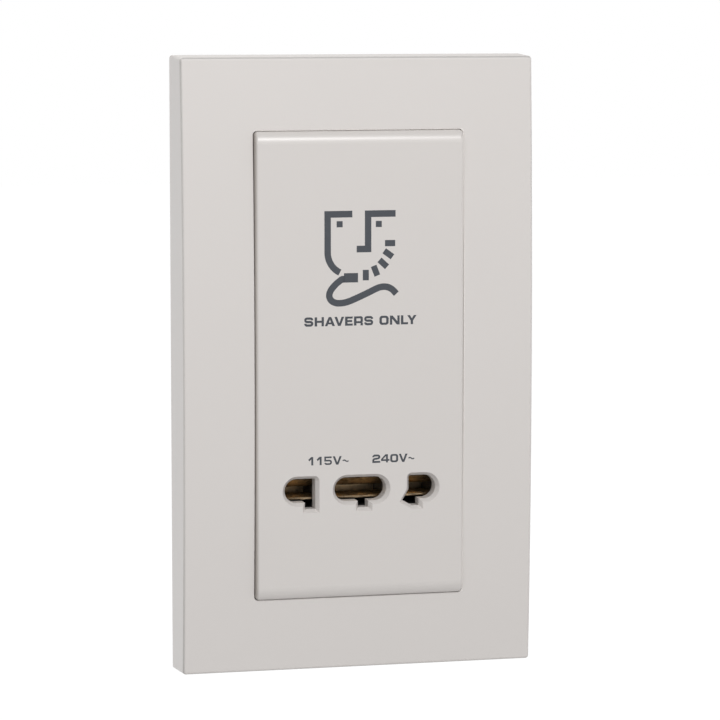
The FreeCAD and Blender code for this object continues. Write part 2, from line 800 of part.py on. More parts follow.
def terminal_block():
    half = terminal_pitch + terminal_width / 2 + terminal_gap + block_wall
    body = box((-half, half), (step_depth, step_depth + block_depth), (block_bottom, block_top))
    edges = [edge for edge in body.Edges
             if edge.BoundBox.YLength > block_depth / 2 or edge.BoundBox.YMin > step_depth + block_wall]
    body = body.makeFillet(block_wall / 2, edges)
    cuts = tail_slots((step_depth, terminal_seat()))
    for x in terminal_places().values():
        cell = terminal_width / 2 + terminal_gap
        cuts.append(box((x - cell, x + cell), (terminal_seat(), step_depth + block_depth),
                        (block_bottom + block_wall, block_top - block_wall)))
        cuts.append(hole(Vector(x, wire_y(), block_top - block_wall), Vector(0, 0, 1),
                         wire_radius + hole_gap, block_wall))
    return body.cut(cuts)


def terminal(x):
    """Brass tunnel terminal with a solder tail."""
    low = terminal_seat()
    body = box((x - terminal_width / 2, x + terminal_width / 2), (low, low + terminal_depth),
               terminal_heights())
    tail = box((x - tail_width / 2, x + tail_width / 2), (step_depth - housing_wall - tail_reach, low),
               (terminal_z - tail_thickness / 2, terminal_z + tail_thickness / 2))
    bottom, top = terminal_heights()
    tunnel = hole(Vector(x, wire_y(), bottom), Vector(0, 0, 1), wire_radius, top - bottom)
    tapped = hole(Vector(x, low + terminal_depth, terminal_z), Vector(0, -1, 0),
                  terminal_screw_radius + screw_gap, low + terminal_depth - wire_y())
    return body.cut([tunnel, tapped]).fuse(tail).removeSplitter()


def terminal_screws():
    seat = terminal_seat() + terminal_depth
    length = seat - wire_y() - wire_radius
    return Part.makeCompound([screw(Vector(x, seat, terminal_z), Vector(0, -1, 0), terminal_screw_radius,
                                    length, small_head_radius, small_head_height)
                              for x in terminal_places().values()])


def earth_strap():
    """Strip from the under side of the earth tail to the back of the grid."""
    x = terminal_places()["earth"]
    under = terminal_z - tail_thickness / 2 - strap_thickness / 2
    on_grid = strap_thickness / 2
    points = [(step_depth - housing_wall - tail_slot_gap, under), (on_grid, under),
              (on_grid, under + strap_foot)]
    return strip(points, strap_thickness, strap_bend, x - strap_width / 2, x + strap_width / 2)


# Leads

def tail_front():
    return step_depth - housing_wall - tail_reach


def cutout_lead_y():
    return winding_front() - cutout_thickness / 2


def line_lead():
    """From the line tail down to the cut-out."""
    x = terminal_places()["line"]
    end_x = -cutout_width / 4
    behind_grid = lead_radius + head_clearance
    return lead([(x, tail_front(), terminal_z), (x, tail_front() - lead_drop, terminal_z),
                 (end_x, behind_grid, core_top), (end_x, cutout_lead_y(), core_top - leg_width / 2),
                 (end_x, cutout_lead_y(), cutout_heights()[1])])


def coil_lead_y():
    """Between the bobbin's front edge and the core."""
    return (winding_front() + core_front) / 2


def cutout_lead():
    """From the cut-out back over the bobbin's top flange."""
    x = cutout_width / 4
    top = bobbin_heights()[2][1]
    crest = top + leg_width / 2
    return lead([(x, cutout_lead_y(), cutout_heights()[1]), (x, cutout_lead_y(), crest),
                 (x, coil_lead_y(), crest), (x, coil_lead_y(), top)])


def neutral_lead():
    """From the neutral tail down to the bobbin's top flange."""
    x = terminal_places()["neutral"]
    end_x = leg_width + bobbin_wall
    top = bobbin_heights()[2][1]
    return lead([(x, tail_front(), terminal_z), (x, tail_front() - lead_drop, terminal_z),
                 (end_x, coil_lead_y(), core_top), (end_x, coil_lead_y(), top)])


def contact_lead(outline, start_x):
    """From the bobbin's bottom flange down to a contact's tail."""
    low, high = tail_span(outline, contact_tail_width)
    tail_y = carrier_back + small_head_height + head_clearance + lead_radius
    foot = bobbin_heights()[0][0]
    end_z = aperture_z + contact_thickness / 2
    return lead([(start_x, coil_lead_y(), foot), (start_x, coil_lead_y(), core_bottom),
                 ((low + high) / 2, tail_y, carrier_top), ((low + high) / 2, tail_y, end_z)])


flanges = bobbin_heights()
terminals = terminal_places()
lead_spread = leg_width + bobbin_wall

pieces = {
    "surround_frame": surround_frame(),
    "socket_plate": socket_plate(),
    "mounting_grid": mounting_grid(),
    "rear_housing": rear_housing(),
    "housing_screws": housing_screws(),
    "contact_carrier": contact_carrier(),
    "carrier_screws": carrier_screws(),
    "contact_115v": contact(left_aperture()),
    "contact_common": contact(middle_aperture()),
    "contact_240v": contact(right_aperture()),
    "core_e_stack": core_e_stack(),
    "core_i_stack": core_i_stack(),
    "core_screws": core_screws(),
    "bobbin": bobbin(),
    "primary_winding": winding(flanges[1], flanges[2]),
    "secondary_winding": winding(flanges[0], flanges[1]),
    "thermal_cutout": thermal_cutout(),
    "terminal_block": terminal_block(),
    "line_terminal": terminal(terminals["line"]),
    "neutral_terminal": terminal(terminals["neutral"]),
    "earth_terminal": terminal(terminals["earth"]),
    "terminal_screws": terminal_screws(),
    "earth_strap": earth_strap(),
    "line_lead": line_lead(),
    "cutout_lead": cutout_lead(),
    "neutral_lead": neutral_lead(),
    "lead_115v": contact_lead(left_aperture(), -lead_spread),
    "lead_common": contact_lead(middle_aperture(), 0.0),
    "lead_240v": contact_lead(right_aperture(), lead_spread),
}

os.makedirs("parts", exist_ok=True)
for name, shape in pieces.items():
    shape.exportStep("parts/%s.step" % name)
    print(name, len(shape.Solids), round(shape.Volume, 1), shape.isValid())
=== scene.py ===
import bmesh
import bpy
import json
import math
from mathutils import Matrix, Vector


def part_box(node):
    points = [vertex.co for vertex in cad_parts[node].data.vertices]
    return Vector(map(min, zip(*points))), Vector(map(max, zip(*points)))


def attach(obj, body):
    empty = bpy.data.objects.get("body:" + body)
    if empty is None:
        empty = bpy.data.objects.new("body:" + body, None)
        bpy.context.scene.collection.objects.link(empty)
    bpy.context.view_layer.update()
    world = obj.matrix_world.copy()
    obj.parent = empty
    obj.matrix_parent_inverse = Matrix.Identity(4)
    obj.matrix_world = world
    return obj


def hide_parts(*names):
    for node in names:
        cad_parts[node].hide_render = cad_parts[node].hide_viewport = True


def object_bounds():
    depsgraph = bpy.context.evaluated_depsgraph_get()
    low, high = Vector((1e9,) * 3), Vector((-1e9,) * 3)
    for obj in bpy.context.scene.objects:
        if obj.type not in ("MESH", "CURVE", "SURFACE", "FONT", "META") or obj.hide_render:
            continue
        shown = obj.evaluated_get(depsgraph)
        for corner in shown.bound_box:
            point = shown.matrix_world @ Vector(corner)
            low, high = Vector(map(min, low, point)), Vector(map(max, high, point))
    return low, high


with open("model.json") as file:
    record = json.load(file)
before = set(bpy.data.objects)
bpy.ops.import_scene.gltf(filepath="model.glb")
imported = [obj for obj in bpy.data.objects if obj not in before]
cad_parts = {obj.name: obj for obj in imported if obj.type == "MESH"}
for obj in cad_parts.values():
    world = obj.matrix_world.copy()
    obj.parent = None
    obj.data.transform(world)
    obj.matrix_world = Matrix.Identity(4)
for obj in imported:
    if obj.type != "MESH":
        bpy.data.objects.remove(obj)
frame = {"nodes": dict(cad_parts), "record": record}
cadBox = [list(corner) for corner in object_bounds()]
nodes = frame["nodes"]
mm = 0.001
weld = {"drawn": 1e-7, "cad": 1e-6}      # vertices nearer than this are one
print("frame loaded:", len(nodes), "CAD nodes")


# helpers for node trees

def addNode(tree, kind, inputs=None, **settings):
    node = tree.nodes.new(kind)
    for key, value in settings.items():
        setattr(node, key, value)
    for key, value in (inputs or {}).items():
        node.inputs[key].default_value = value
    return node


def join(tree, source, target):
    tree.links.new(source, target)


def newGroup(name, kind, inputs, outputs):
    tree = bpy.data.node_groups.new(name, kind)
    for label, socketType, value in inputs:
        socket = tree.interface.new_socket(label, in_out="INPUT", socket_type=socketType)
        if value is not None:
            socket.default_value = value
    for label, socketType in outputs:
        tree.interface.new_socket(label, in_out="OUTPUT", socket_type=socketType)
    return tree, tree.nodes.new("NodeGroupInput"), tree.nodes.new("NodeGroupOutput")


def compute(tree, operation, *values):
    node = addNode(tree, "ShaderNodeMath", operation=operation)
    for socket, value in zip(node.inputs, values):
        if isinstance(value, (int, float)):
            socket.default_value = value
        else:
            join(tree, value, socket)
    return node.outputs[0]


# shader groups shared by the finishes

flowShare, grainShare = 0.8, 0.2         # of the plastic's tone


def buildMouldedSkin():
    tree, take, give = newGroup("mouldedSkin", "ShaderNodeTree", [
        ("Grain Scale", "NodeSocketFloat", 7000.0),
        ("Flow Scale", "NodeSocketFloat", 45.0),
        ("Rough Low", "NodeSocketFloat", 0.35),
        ("Rough High", "NodeSocketFloat", 0.45)], [
        ("Tone", "NodeSocketFloat"), ("Roughness", "NodeSocketFloat"), ("Height", "NodeSocketFloat")])
    coords = addNode(tree, "ShaderNodeTexCoord")
    grain = addNode(tree, "ShaderNodeTexNoise", {"Detail": 2.0, "Roughness": 0.5})
    flow = addNode(tree, "ShaderNodeTexNoise", {"Detail": 2.0, "Roughness": 0.5})
    for node, label in ((grain, "Grain Scale"), (flow, "Flow Scale")):
        join(tree, coords.outputs["Object"], node.inputs["Vector"])
        join(tree, take.outputs[label], node.inputs["Scale"])
    rough = addNode(tree, "ShaderNodeMapRange", {"From Min": 0.1, "From Max": 0.9})
    join(tree, flow.outputs["Fac"], rough.inputs["Value"])
    join(tree, take.outputs["Rough Low"], rough.inputs["To Min"])
    join(tree, take.outputs["Rough High"], rough.inputs["To Max"])
    slow = compute(tree, "MULTIPLY", flow.outputs["Fac"], flowShare)
    fine = compute(tree, "MULTIPLY", grain.outputs["Fac"], grainShare)
    join(tree, compute(tree, "ADD", slow, fine), give.inputs["Tone"])
    join(tree, rough.outputs["Result"], give.inputs["Roughness"])
    join(tree, grain.outputs["Fac"], give.inputs["Height"])
    return tree


def buildMetalAge():
    tree, take, give = newGroup("metalAge", "ShaderNodeTree", [
        ("Spot Scale", "NodeSocketFloat", 500.0),
        ("Brush Stretch", "NodeSocketVector", (1.0, 1.0, 1.0)),
        ("Brush Scale", "NodeSocketFloat", 1500.0),
        ("Rough Low", "NodeSocketFloat", 0.24),
        ("Rough High", "NodeSocketFloat", 0.42)], [
        ("Spots", "NodeSocketFloat"), ("Brush", "NodeSocketFloat"), ("Roughness", "NodeSocketFloat")])
    coords = addNode(tree, "ShaderNodeTexCoord")
    stretched = addNode(tree, "ShaderNodeVectorMath", operation="MULTIPLY")
    join(tree, coords.outputs["Object"], stretched.inputs[0])
    join(tree, take.outputs["Brush Stretch"], stretched.inputs[1])
    spots = addNode(tree, "ShaderNodeTexNoise", {"Detail": 5.0, "Roughness": 0.65, "Distortion": 0.6})
    brush = addNode(tree, "ShaderNodeTexNoise", {"Detail": 3.0, "Roughness": 0.6})
    join(tree, coords.outputs["Object"], spots.inputs["Vector"])
    join(tree, stretched.outputs[0], brush.inputs["Vector"])
    join(tree, take.outputs["Spot Scale"], spots.inputs["Scale"])
    join(tree, take.outputs["Brush Scale"], brush.inputs["Scale"])
    mask = addNode(tree, "ShaderNodeMapRange", {"From Min": 0.42, "From Max": 0.66})
    join(tree, spots.outputs["Fac"], mask.inputs["Value"])
    rough = addNode(tree, "ShaderNodeMapRange")
    join(tree, mask.outputs["Result"], rough.inputs["Value"])
    join(tree, take.outputs["Rough Low"], rough.inputs["To Min"])
    join(tree, take.outputs["Rough High"], rough.inputs["To Max"])
    join(tree, mask.outputs["Result"], give.inputs["Spots"])
    join(tree, brush.outputs["Fac"], give.inputs["Brush"])
    join(tree, rough.outputs["Result"], give.inputs["Roughness"])
    return tree


mouldedSkin = buildMouldedSkin()
metalAge = buildMetalAge()


# materials

def newMaterial(name):
    material = bpy.data.materials.new(name)
    material.use_nodes = True
    tree = material.node_tree
    return material, tree, tree.nodes["Principled BSDF"]


def mixColours(tree, factor, first, second):
    mix = addNode(tree, "ShaderNodeMix", data_type="RGBA")
    ends = [socket for socket in mix.inputs if socket.type == "RGBA"]
    for socket, colour in zip(ends, (first, second)):
        if isinstance(colour, tuple):
            socket.default_value = (*colour, 1)
        else:
            join(tree, colour, socket)
    join(tree, factor, mix.inputs["Factor"])
    return [socket for socket in mix.outputs if socket.type == "RGBA"][0]


def bumpFrom(tree, height, strength, distance):
    bump = addNode(tree, "ShaderNodeBump", {"Strength": strength, "Distance": distance})
    join(tree, height, bump.inputs["Height"])
    return bump.outputs["Normal"]


def ease(tree, value, low, high, start=0.0, end=1.0):
    ends = {"From Min": low, "From Max": high, "To Min": start, "To Max": end}
    node = addNode(tree, "ShaderNodeMapRange", ends, interpolation_type="SMOOTHSTEP")
    join(tree, value, node.inputs["Value"])
    return node.outputs["Result"]


def objectPlace(tree):
    coords, place = addNode(tree, "ShaderNodeTexCoord"), addNode(tree, "ShaderNodeSeparateXYZ")
    join(tree, coords.outputs["Object"], place.inputs[0])
    return place


# painted shade and painted light at the edges and joints of the plastic, laid over its own colour

surroundEdgeShade = {                 # painted shade in the crease along the left and top edges of the surround's face
    "halfWidth": 42.6 * mm,      # of the face
    "halfHeight": 72.6 * mm,
    "front": -12.5 * mm,         # the face at its middle
    "bow": 2.0 * mm,             # how far its ends fall back
    "near": 0.3 * mm,            # full tone up to here, across the edge
    "far": 0.6 * mm,             # none from here
    "colour": (0.46, 0.443, 0.428),
    "rough": 0.55,
}
surroundTopMattAndShade = {                  # its upper wall, more matt than its face, with painted shade darkening its colour against the lamps above
    "axis": "Z",
    "start": 72.45 * mm,
    "end": 72.6 * mm,
    "amount": 1.0,
    "colour": (0.6, 0.571, 0.551),
    "rough": 0.65,
}
plateLeftShade = {                   # painted shade on the left rounding of the socket plate, the side turned from the key lamp
    "axis": "X",
    "start": -24.48 * mm,
    "end": -25.33 * mm,
    "amount": 0.62,
    "colour": (0.17, 0.142, 0.115),
    "rough": 0.5,
}
plateShoulderShade = {                # painted shade on its upper rounding
    "axis": "Z",
    "start": 53.0 * mm,
    "end": 54.0 * mm,
    "amount": 1.0,
    "colour": (0.58, 0.551, 0.53),
    "rough": 0.3,
}
jointPaintedLight = {                    # painted light in the joint at the right and at the top, lifting the shade of the crevice
    "plateInner": 25.0 * mm,
    "plateOuter": 25.22 * mm,
    "plateTop": 55.28 * mm,
    "windowSide": 25.45 * mm,
    "windowTop": 55.4 * mm,
    "near": 0.07 * mm,           # full tone up to here, from the window's wall
    "far": 0.21 * mm,
    "blend": 0.2 * mm,           # towards the window's corners
    "colour": (0.85, 0.817, 0.79),
    "rough": 0.5,
}


def rampMask(tree, place, values):
    return ease(tree, place.outputs[values["axis"]], values["start"], values["end"], 0.0, values["amount"])


# mask of the painted shade along the surround's left and top edges
def edgeShadeMask(tree, place, values):
    side = compute(tree, "ADD", place.outputs["X"], values["halfWidth"])
    end = compute(tree, "SUBTRACT", values["halfHeight"], place.outputs["Z"])
    share = compute(tree, "DIVIDE", place.outputs["Z"], values["halfHeight"])
    bow = compute(tree, "MULTIPLY", compute(tree, "MULTIPLY", share, share), values["bow"])
    back = compute(tree, "SUBTRACT", compute(tree, "SUBTRACT", place.outputs["Y"], values["front"]), bow)
    across = compute(tree, "ADD", compute(tree, "MINIMUM", side, end), back)
    return ease(tree, across, values["near"], values["far"], 1.0, 0.0)


# where the painted light in the joint lies on the plate
def platePaintedLightMask(tree, place, values):
    right = ease(tree, place.outputs["X"], values["plateInner"], values["plateOuter"])
    top = compute(tree, "GREATER_THAN", place.outputs["Z"], values["plateTop"])
    return compute(tree, "MAXIMUM", right, top)


# where the painted light in the joint lies on the window's walls
def windowPaintedLightMask(tree, place, values):
    side, top = values["windowSide"], values["windowTop"]
    edges = []
    for along, wall, across, reach in (("X", side, "Z", top), ("Z", top, "X", side)):
        near = ease(tree, place.outputs[along], wall + values["near"], wall + values["far"], 1.0, 0.0)
        positive = compute(tree, "GREATER_THAN", place.outputs[along], 0.0)
        distance = compute(tree, "ABSOLUTE", place.outputs[across])
        between = ease(tree, distance, reach - values["blend"], reach, 1.0, 0.0)
        edges.append(compute(tree, "MULTIPLY", compute(tree, "MULTIPLY", near, positive), between))
    return compute(tree, "MAXIMUM", *edges)


bumpStrength = {"skin": 0.35, "ink": 0.2, "brush": 0.3, "bands": 0.5}
bumpDepth = {"brush": 0.01 * mm, "bands": 0.08 * mm}
wavePeriod = 0.314               # of the wave texture at scale 1


def mouldedPlastic(name, pale, deep, rough=(0.277, 0.325), grain=7000.0, depth=0.006 * mm, flow=45.0,
                   bump=bumpStrength["skin"], shades=()):
    material, tree, shader = newMaterial(name)
    skin = addNode(tree, "ShaderNodeGroup", {
        "Grain Scale": grain, "Flow Scale": flow, "Rough Low": rough[0], "Rough High": rough[1]},
        node_tree=mouldedSkin)
    colour, roughness = mixColours(tree, skin.outputs["Tone"], deep, pale), skin.outputs["Roughness"]
    place = objectPlace(tree) if shades else None
    # each of the shades lays painted shade or painted light over the plastic's colour and sets its roughness
    for maskOf, values in shades:
        mask = maskOf(tree, place, values)
        colour = mixColours(tree, mask, colour, values["colour"])
        dulled = addNode(tree, "ShaderNodeMapRange", {"To Max": values["rough"]})
        join(tree, mask, dulled.inputs["Value"])
        join(tree, roughness, dulled.inputs["To Min"])
        roughness = dulled.outputs["Result"]
    join(tree, colour, shader.inputs["Base Color"])
    join(tree, roughness, shader.inputs["Roughness"])
    join(tree, bumpFrom(tree, skin.outputs["Height"], bump, depth), shader.inputs["Normal"])
    return material


def agedMetal(name, clean, dull, stretch, spots=500.0, brush=1500.0, rough=(0.24, 0.42)):
    material, tree, shader = newMaterial(name)
    age = addNode(tree, "ShaderNodeGroup", {
        "Spot Scale": spots, "Brush Scale": brush, "Brush Stretch": stretch,
        "Rough Low": rough[0], "Rough High": rough[1]}, node_tree=metalAge)
    shader.inputs["Metallic"].default_value = 1.0
    join(tree, mixColours(tree, age.outputs["Spots"], clean, dull), shader.inputs["Base Color"])
    join(tree, age.outputs["Roughness"], shader.inputs["Roughness"])
    normal = bumpFrom(tree, age.outputs["Brush"], bumpStrength["brush"], bumpDepth["brush"])
    join(tree, normal, shader.inputs["Normal"])
    return material


def bandedMetal(name, bright, dark, direction, pitch, metallic, rough):
    material, tree, shader = newMaterial(name)
    coords = addNode(tree, "ShaderNodeTexCoord")
    bands = addNode(tree, "ShaderNodeTexWave", {
        "Scale": wavePeriod / pitch, "Distortion": 0.6, "Detail": 2.0, "Detail Scale": 2.0},
        bands_direction=direction)
    join(tree, coords.outputs["Object"], bands.inputs["Vector"])
    shader.inputs["Metallic"].default_value = metallic
    shader.inputs["Roughness"].default_value = rough
    join(tree, mixColours(tree, bands.outputs["Fac"], dark, bright), shader.inputs["Base Color"])
    normal = bumpFrom(tree, bands.outputs["Fac"], bumpStrength["bands"], bumpDepth["bands"])
    join(tree, normal, shader.inputs["Normal"])
    return material


# the shades lay painted shade and painted light on the surround and the socket plate
plastics = {
    "surround_plastic": {"name": "surroundPlastic", "pale": (0.671, 0.639, 0.618),
                         "deep": (0.659, 0.628, 0.606),
                         "shades": ((rampMask, surroundTopMattAndShade), (edgeShadeMask, surroundEdgeShade),
                                    (windowPaintedLightMask, jointPaintedLight))},
    "plate_plastic": {"name": "platePlastic", "pale": (0.656, 0.624, 0.602), "deep": (0.644, 0.613, 0.591),
                      "shades": ((rampMask, plateShoulderShade), (rampMask, plateLeftShade),
                                 (platePaintedLightMask, jointPaintedLight))},
    "housing_plastic": {"name": "housingPlastic", "pale": (0.5, 0.49, 0.475), "deep": (0.47, 0.46, 0.445),
                        "rough": (0.42, 0.55), "grain": 2600.0, "depth": 0.03 * mm},
    "carrier_plastic": {"name": "carrierPlastic", "pale": (0.03, 0.028, 0.027), "deep": (0.018, 0.017, 0.017),
                        "rough": (0.4, 0.55), "grain": 3000.0, "depth": 0.02 * mm},
    "bobbin_nylon": {"name": "bobbinNylon", "pale": (0.7, 0.67, 0.58), "deep": (0.62, 0.59, 0.5),
                     "rough": (0.4, 0.5)},
    "cutout_plastic": {"name": "cutoutPlastic", "pale": (0.05, 0.05, 0.055), "deep": (0.035, 0.035, 0.04),
                       "rough": (0.2, 0.3)},
    "block_plastic": {"name": "blockPlastic", "pale": (0.075, 0.075, 0.08), "deep": (0.05, 0.05, 0.055),
                      "rough": (0.35, 0.5), "grain": 2600.0, "depth": 0.03 * mm},
    "lead_brown": {"name": "leadBrown", "pale": (0.16, 0.06, 0.025), "deep": (0.12, 0.045, 0.02),
                   "rough": (0.25, 0.35)},
    "lead_blue": {"name": "leadBlue", "pale": (0.03, 0.13, 0.42), "deep": (0.025, 0.1, 0.36),
                  "rough": (0.25, 0.35)},
    "lead_grey": {"name": "leadGrey", "pale": (0.32, 0.32, 0.33), "deep": (0.27, 0.27, 0.28),
                  "rough": (0.25, 0.35)},
}
metals = {
    "grid_steel": {"name": "gridSteel", "clean": (0.62, 0.63, 0.64), "dull": (0.5, 0.51, 0.53),
                   "stretch": (1.0, 8.0, 0.12), "spots": 320.0, "brush": 2500.0},
    "screw_steel": {"name": "screwSteel", "clean": (0.64, 0.64, 0.63), "dull": (0.52, 0.52, 0.52),
                    "stretch": (1.0, 1.0, 1.0), "spots": 900.0},
    "contact_brass": {"name": "contactBrass", "clean": (0.58, 0.45, 0.29), "dull": (0.17, 0.125, 0.08),
                      "stretch": (0.1, 1.0, 1.0), "spots": 300.0, "brush": 3500.0, "rough": (0.3, 0.45)},
    "terminal_brass": {"name": "terminalBrass", "clean": (0.68, 0.5, 0.23), "dull": (0.5, 0.34, 0.14),
                       "stretch": (1.0, 1.0, 0.2), "spots": 600.0, "brush": 3000.0},
}
layeredMetals = {
    "lamination_steel": {"name": "laminationSteel", "bright": (0.2, 0.21, 0.23), "dark": (0.07, 0.072, 0.08),
                         "direction": "Y", "pitch": 0.5 * mm, "metallic": 0.7, "rough": 0.45},
    "winding_copper": {"name": "windingCopper", "bright": (0.5, 0.18, 0.06), "dark": (0.2, 0.06, 0.02),
                       "direction": "Z", "pitch": 0.4 * mm, "metallic": 0.85, "rough": 0.3},
}

finishes = {}
for makeFinish, table in ((mouldedPlastic, plastics), (agedMetal, metals), (bandedMetal, layeredMetals)):
    for slotName, values in table.items():
        finishes[slotName] = makeFinish(**values)

for part in frame["record"]["subparts"]:
    piece = nodes[part["node"]]
    for slot in piece.material_slots:
        slot.material = finishes[part["material_slot"]]
print("finishes set:", len(finishes))


# printed legend on the socket plate

legendInk = {
    "colour": (0.036, 0.041, 0.051),
    "worn": (0.052, 0.059, 0.07),
    "rough": (0.42, 0.55),
    "grain": 5200.0,
    "flow": 900.0,
    "depth": 0.004 * mm,        # of its grain
    "lift": 0.008 * mm,         # ink above the face
    "sink": 0.05 * mm,          # ink below it, so that no edge floats
}

inkMaterial = mouldedPlastic("legendInk", legendInk["worn"], legendInk["colour"], legendInk["rough"],
                             legendInk["grain"], legendInk["depth"], legendInk["flow"], bumpStrength["ink"])
plateFront = min(vert.co.y for vert in nodes["socket_plate"].data.vertices)
arcSteps = 6                    # points round each corner and along each run of a curve


def onPlate(x, y, side):
    return x, plateFront - legendInk["lift"] if side > 0 else plateFront + legendInk["sink"], y


# welds a mesh, moves each of its points and turns its faces outwards
def layOn(mesh, surface):
    shape = bmesh.new()
    shape.from_mesh(mesh)
    bmesh.ops.remove_doubles(shape, verts=shape.verts, dist=weld["drawn"])
    for vert in shape.verts:
        vert.co = surface(*vert.co)
    bmesh.ops.recalc_face_normals(shape, faces=shape.faces)
    shape.to_mesh(mesh)
    shape.free()
    mesh.update()


# corners are (x, y) or (x, y, radius)
def roundedOutline(corners):
    points = []
    count = len(corners)
    for index, corner in enumerate(corners):
        here = Vector(corner[:2])
        radius = corner[2] if len(corner) > 2 else 0
        if radius <= 0:
            points.append(here)
            continue
        before = (Vector(corners[index - 1][:2]) - here).normalized()
        after = (Vector(corners[(index + 1) % count][:2]) - here).normalized()
        half = before.angle(after) / 2
        middle = (before + after).normalized()
        centre = here + middle * (radius / math.sin(half))
        start = here + before * (radius / math.tan(half)) - centre
        end = here + after * (radius / math.tan(half)) - centre
        sweep = start.angle_signed(end)
        for step in range(arcSteps + 1):
            turn = Matrix.Rotation(-sweep * step / arcSteps, 2)
            points.append(centre + turn @ start)
    return points


# outline of a line of the given thickness through the points
def strokeOutline(points, thickness):
    left, right = [], []
    for index, point in enumerate(points):
        here = Vector(point[:2])
        bend = point[2] if len(point) > 2 else 0
        runs = []
        if index > 0:
            runs.append((here - Vector(points[index - 1][:2])).normalized())
        if index < len(points) - 1:
            runs.append((Vector(points[index + 1][:2]) - here).normalized())
        side = sum((Vector((-run.y, run.x)) for run in runs), Vector((0, 0)))
        side = side * (len(runs) * thickness / 2 / side.length_squared)
        turn = runs[0].x * runs[-1].y - runs[0].y * runs[-1].x
        inner, outer = (bend, bend + thickness) if bend > 0 else (0, 0)
        if turn < 0:
            inner, outer = outer, inner
        left.append((*(here + side), inner))
        right.append((*(here - side), outer))
    return roundedOutline(left + right[::-1])


# moves an outline outwards, or inwards by an amount below zero
def grown(outline, amount):
    area = sum(a[0] * b[1] - b[0] * a[1] for a, b in zip(outline, outline[1:] + outline[:1]))
    out = amount if area > 0 else -amount
    moved = []
    for index, point in enumerate(outline):
        here = Vector(point)
        before = (here - Vector(outline[index - 1])).normalized()
        after = (Vector(outline[(index + 1) % len(outline)]) - here).normalized()
        side = Vector((before.y + after.y, -before.x - after.x))
        reach = 2 * out / max(side.length_squared, 1.0)      # a sharp corner moves no further than this
        moved.append(tuple(here + side * reach))
    return moved


def addPiece(name, mesh, material):
    mesh.name = name
    mesh.materials.clear()
    mesh.materials.append(material)
    piece = bpy.data.objects.new(name, mesh)
    bpy.context.scene.collection.objects.link(piece)
    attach(piece, "root")
    return piece


def flatShape(name, outlines):
    curve = bpy.data.curves.new(name, "CURVE")
    curve.dimensions = "2D"
    curve.fill_mode = "BOTH"
    curve.extrude = 0.01 * mm       # any thickness, since layOn sets the real one
    for outline in outlines:
        spline = curve.splines.new("POLY")
        spline.points.add(len(outline) - 1)
        for point, place in zip(spline.points, outline):
            point.co = (place[0], place[1], 0, 1)
        spline.use_cyclic_u = True
    holder = bpy.data.objects.new(name + "Curve", curve)
    bpy.context.scene.collection.objects.link(holder)
    shown = holder.evaluated_get(bpy.context.evaluated_depsgraph_get())
    mesh = bpy.data.meshes.new_from_object(shown)
    bpy.data.objects.remove(holder)
    return mesh


def inkPiece(name, outlines):
    mesh = flatShape(name, outlines)
    layOn(mesh, onPlate)
    addPiece(name, mesh, inkMaterial)


# squared wide letters on a unit cap height: width and outlines, the outer one first

stem, bar = 0.25, 0.21           # upright and level strokes
outerRound, innerRound = 0.3, 0.12
penWidth = 0.225                 # of letters drawn as one line
edge = 0.105                     # that line's middle, from the letter's edge
slimPen = 0.19                   # of the 5
wordSpace = 0.56
tilde = {"start": 0.03, "run": 0.7, "middle": 0.43, "swing": 0.085, "pen": 0.14, "steps": 24}


def squareLetter(width):
    outer = [(x, y, outerRound) for x, y in ((0, 0), (0, 1), (width, 1), (width, 0))]
    right, top = width - stem, 1 - bar
    inner = [(x, y, innerRound) for x, y in ((stem, bar), (stem, top), (right, top), (right, bar))]
    return [roundedOutline(outer), roundedOutline(inner)]


def strokeLetter(points, thickness=penWidth):
    return [strokeOutline(points, thickness)]


def tildeLetter():
    points = []
    for step in range(tilde["steps"] + 1):
        share = step / tilde["steps"]
        points.append((tilde["start"] + tilde["run"] * share,
                       tilde["middle"] + tilde["swing"] * math.sin(2 * math.pi * share)))
    return strokeLetter(points, tilde["pen"])


def plainLetter(*outlines):
    return [roundedOutline(outline) for outline in outlines]


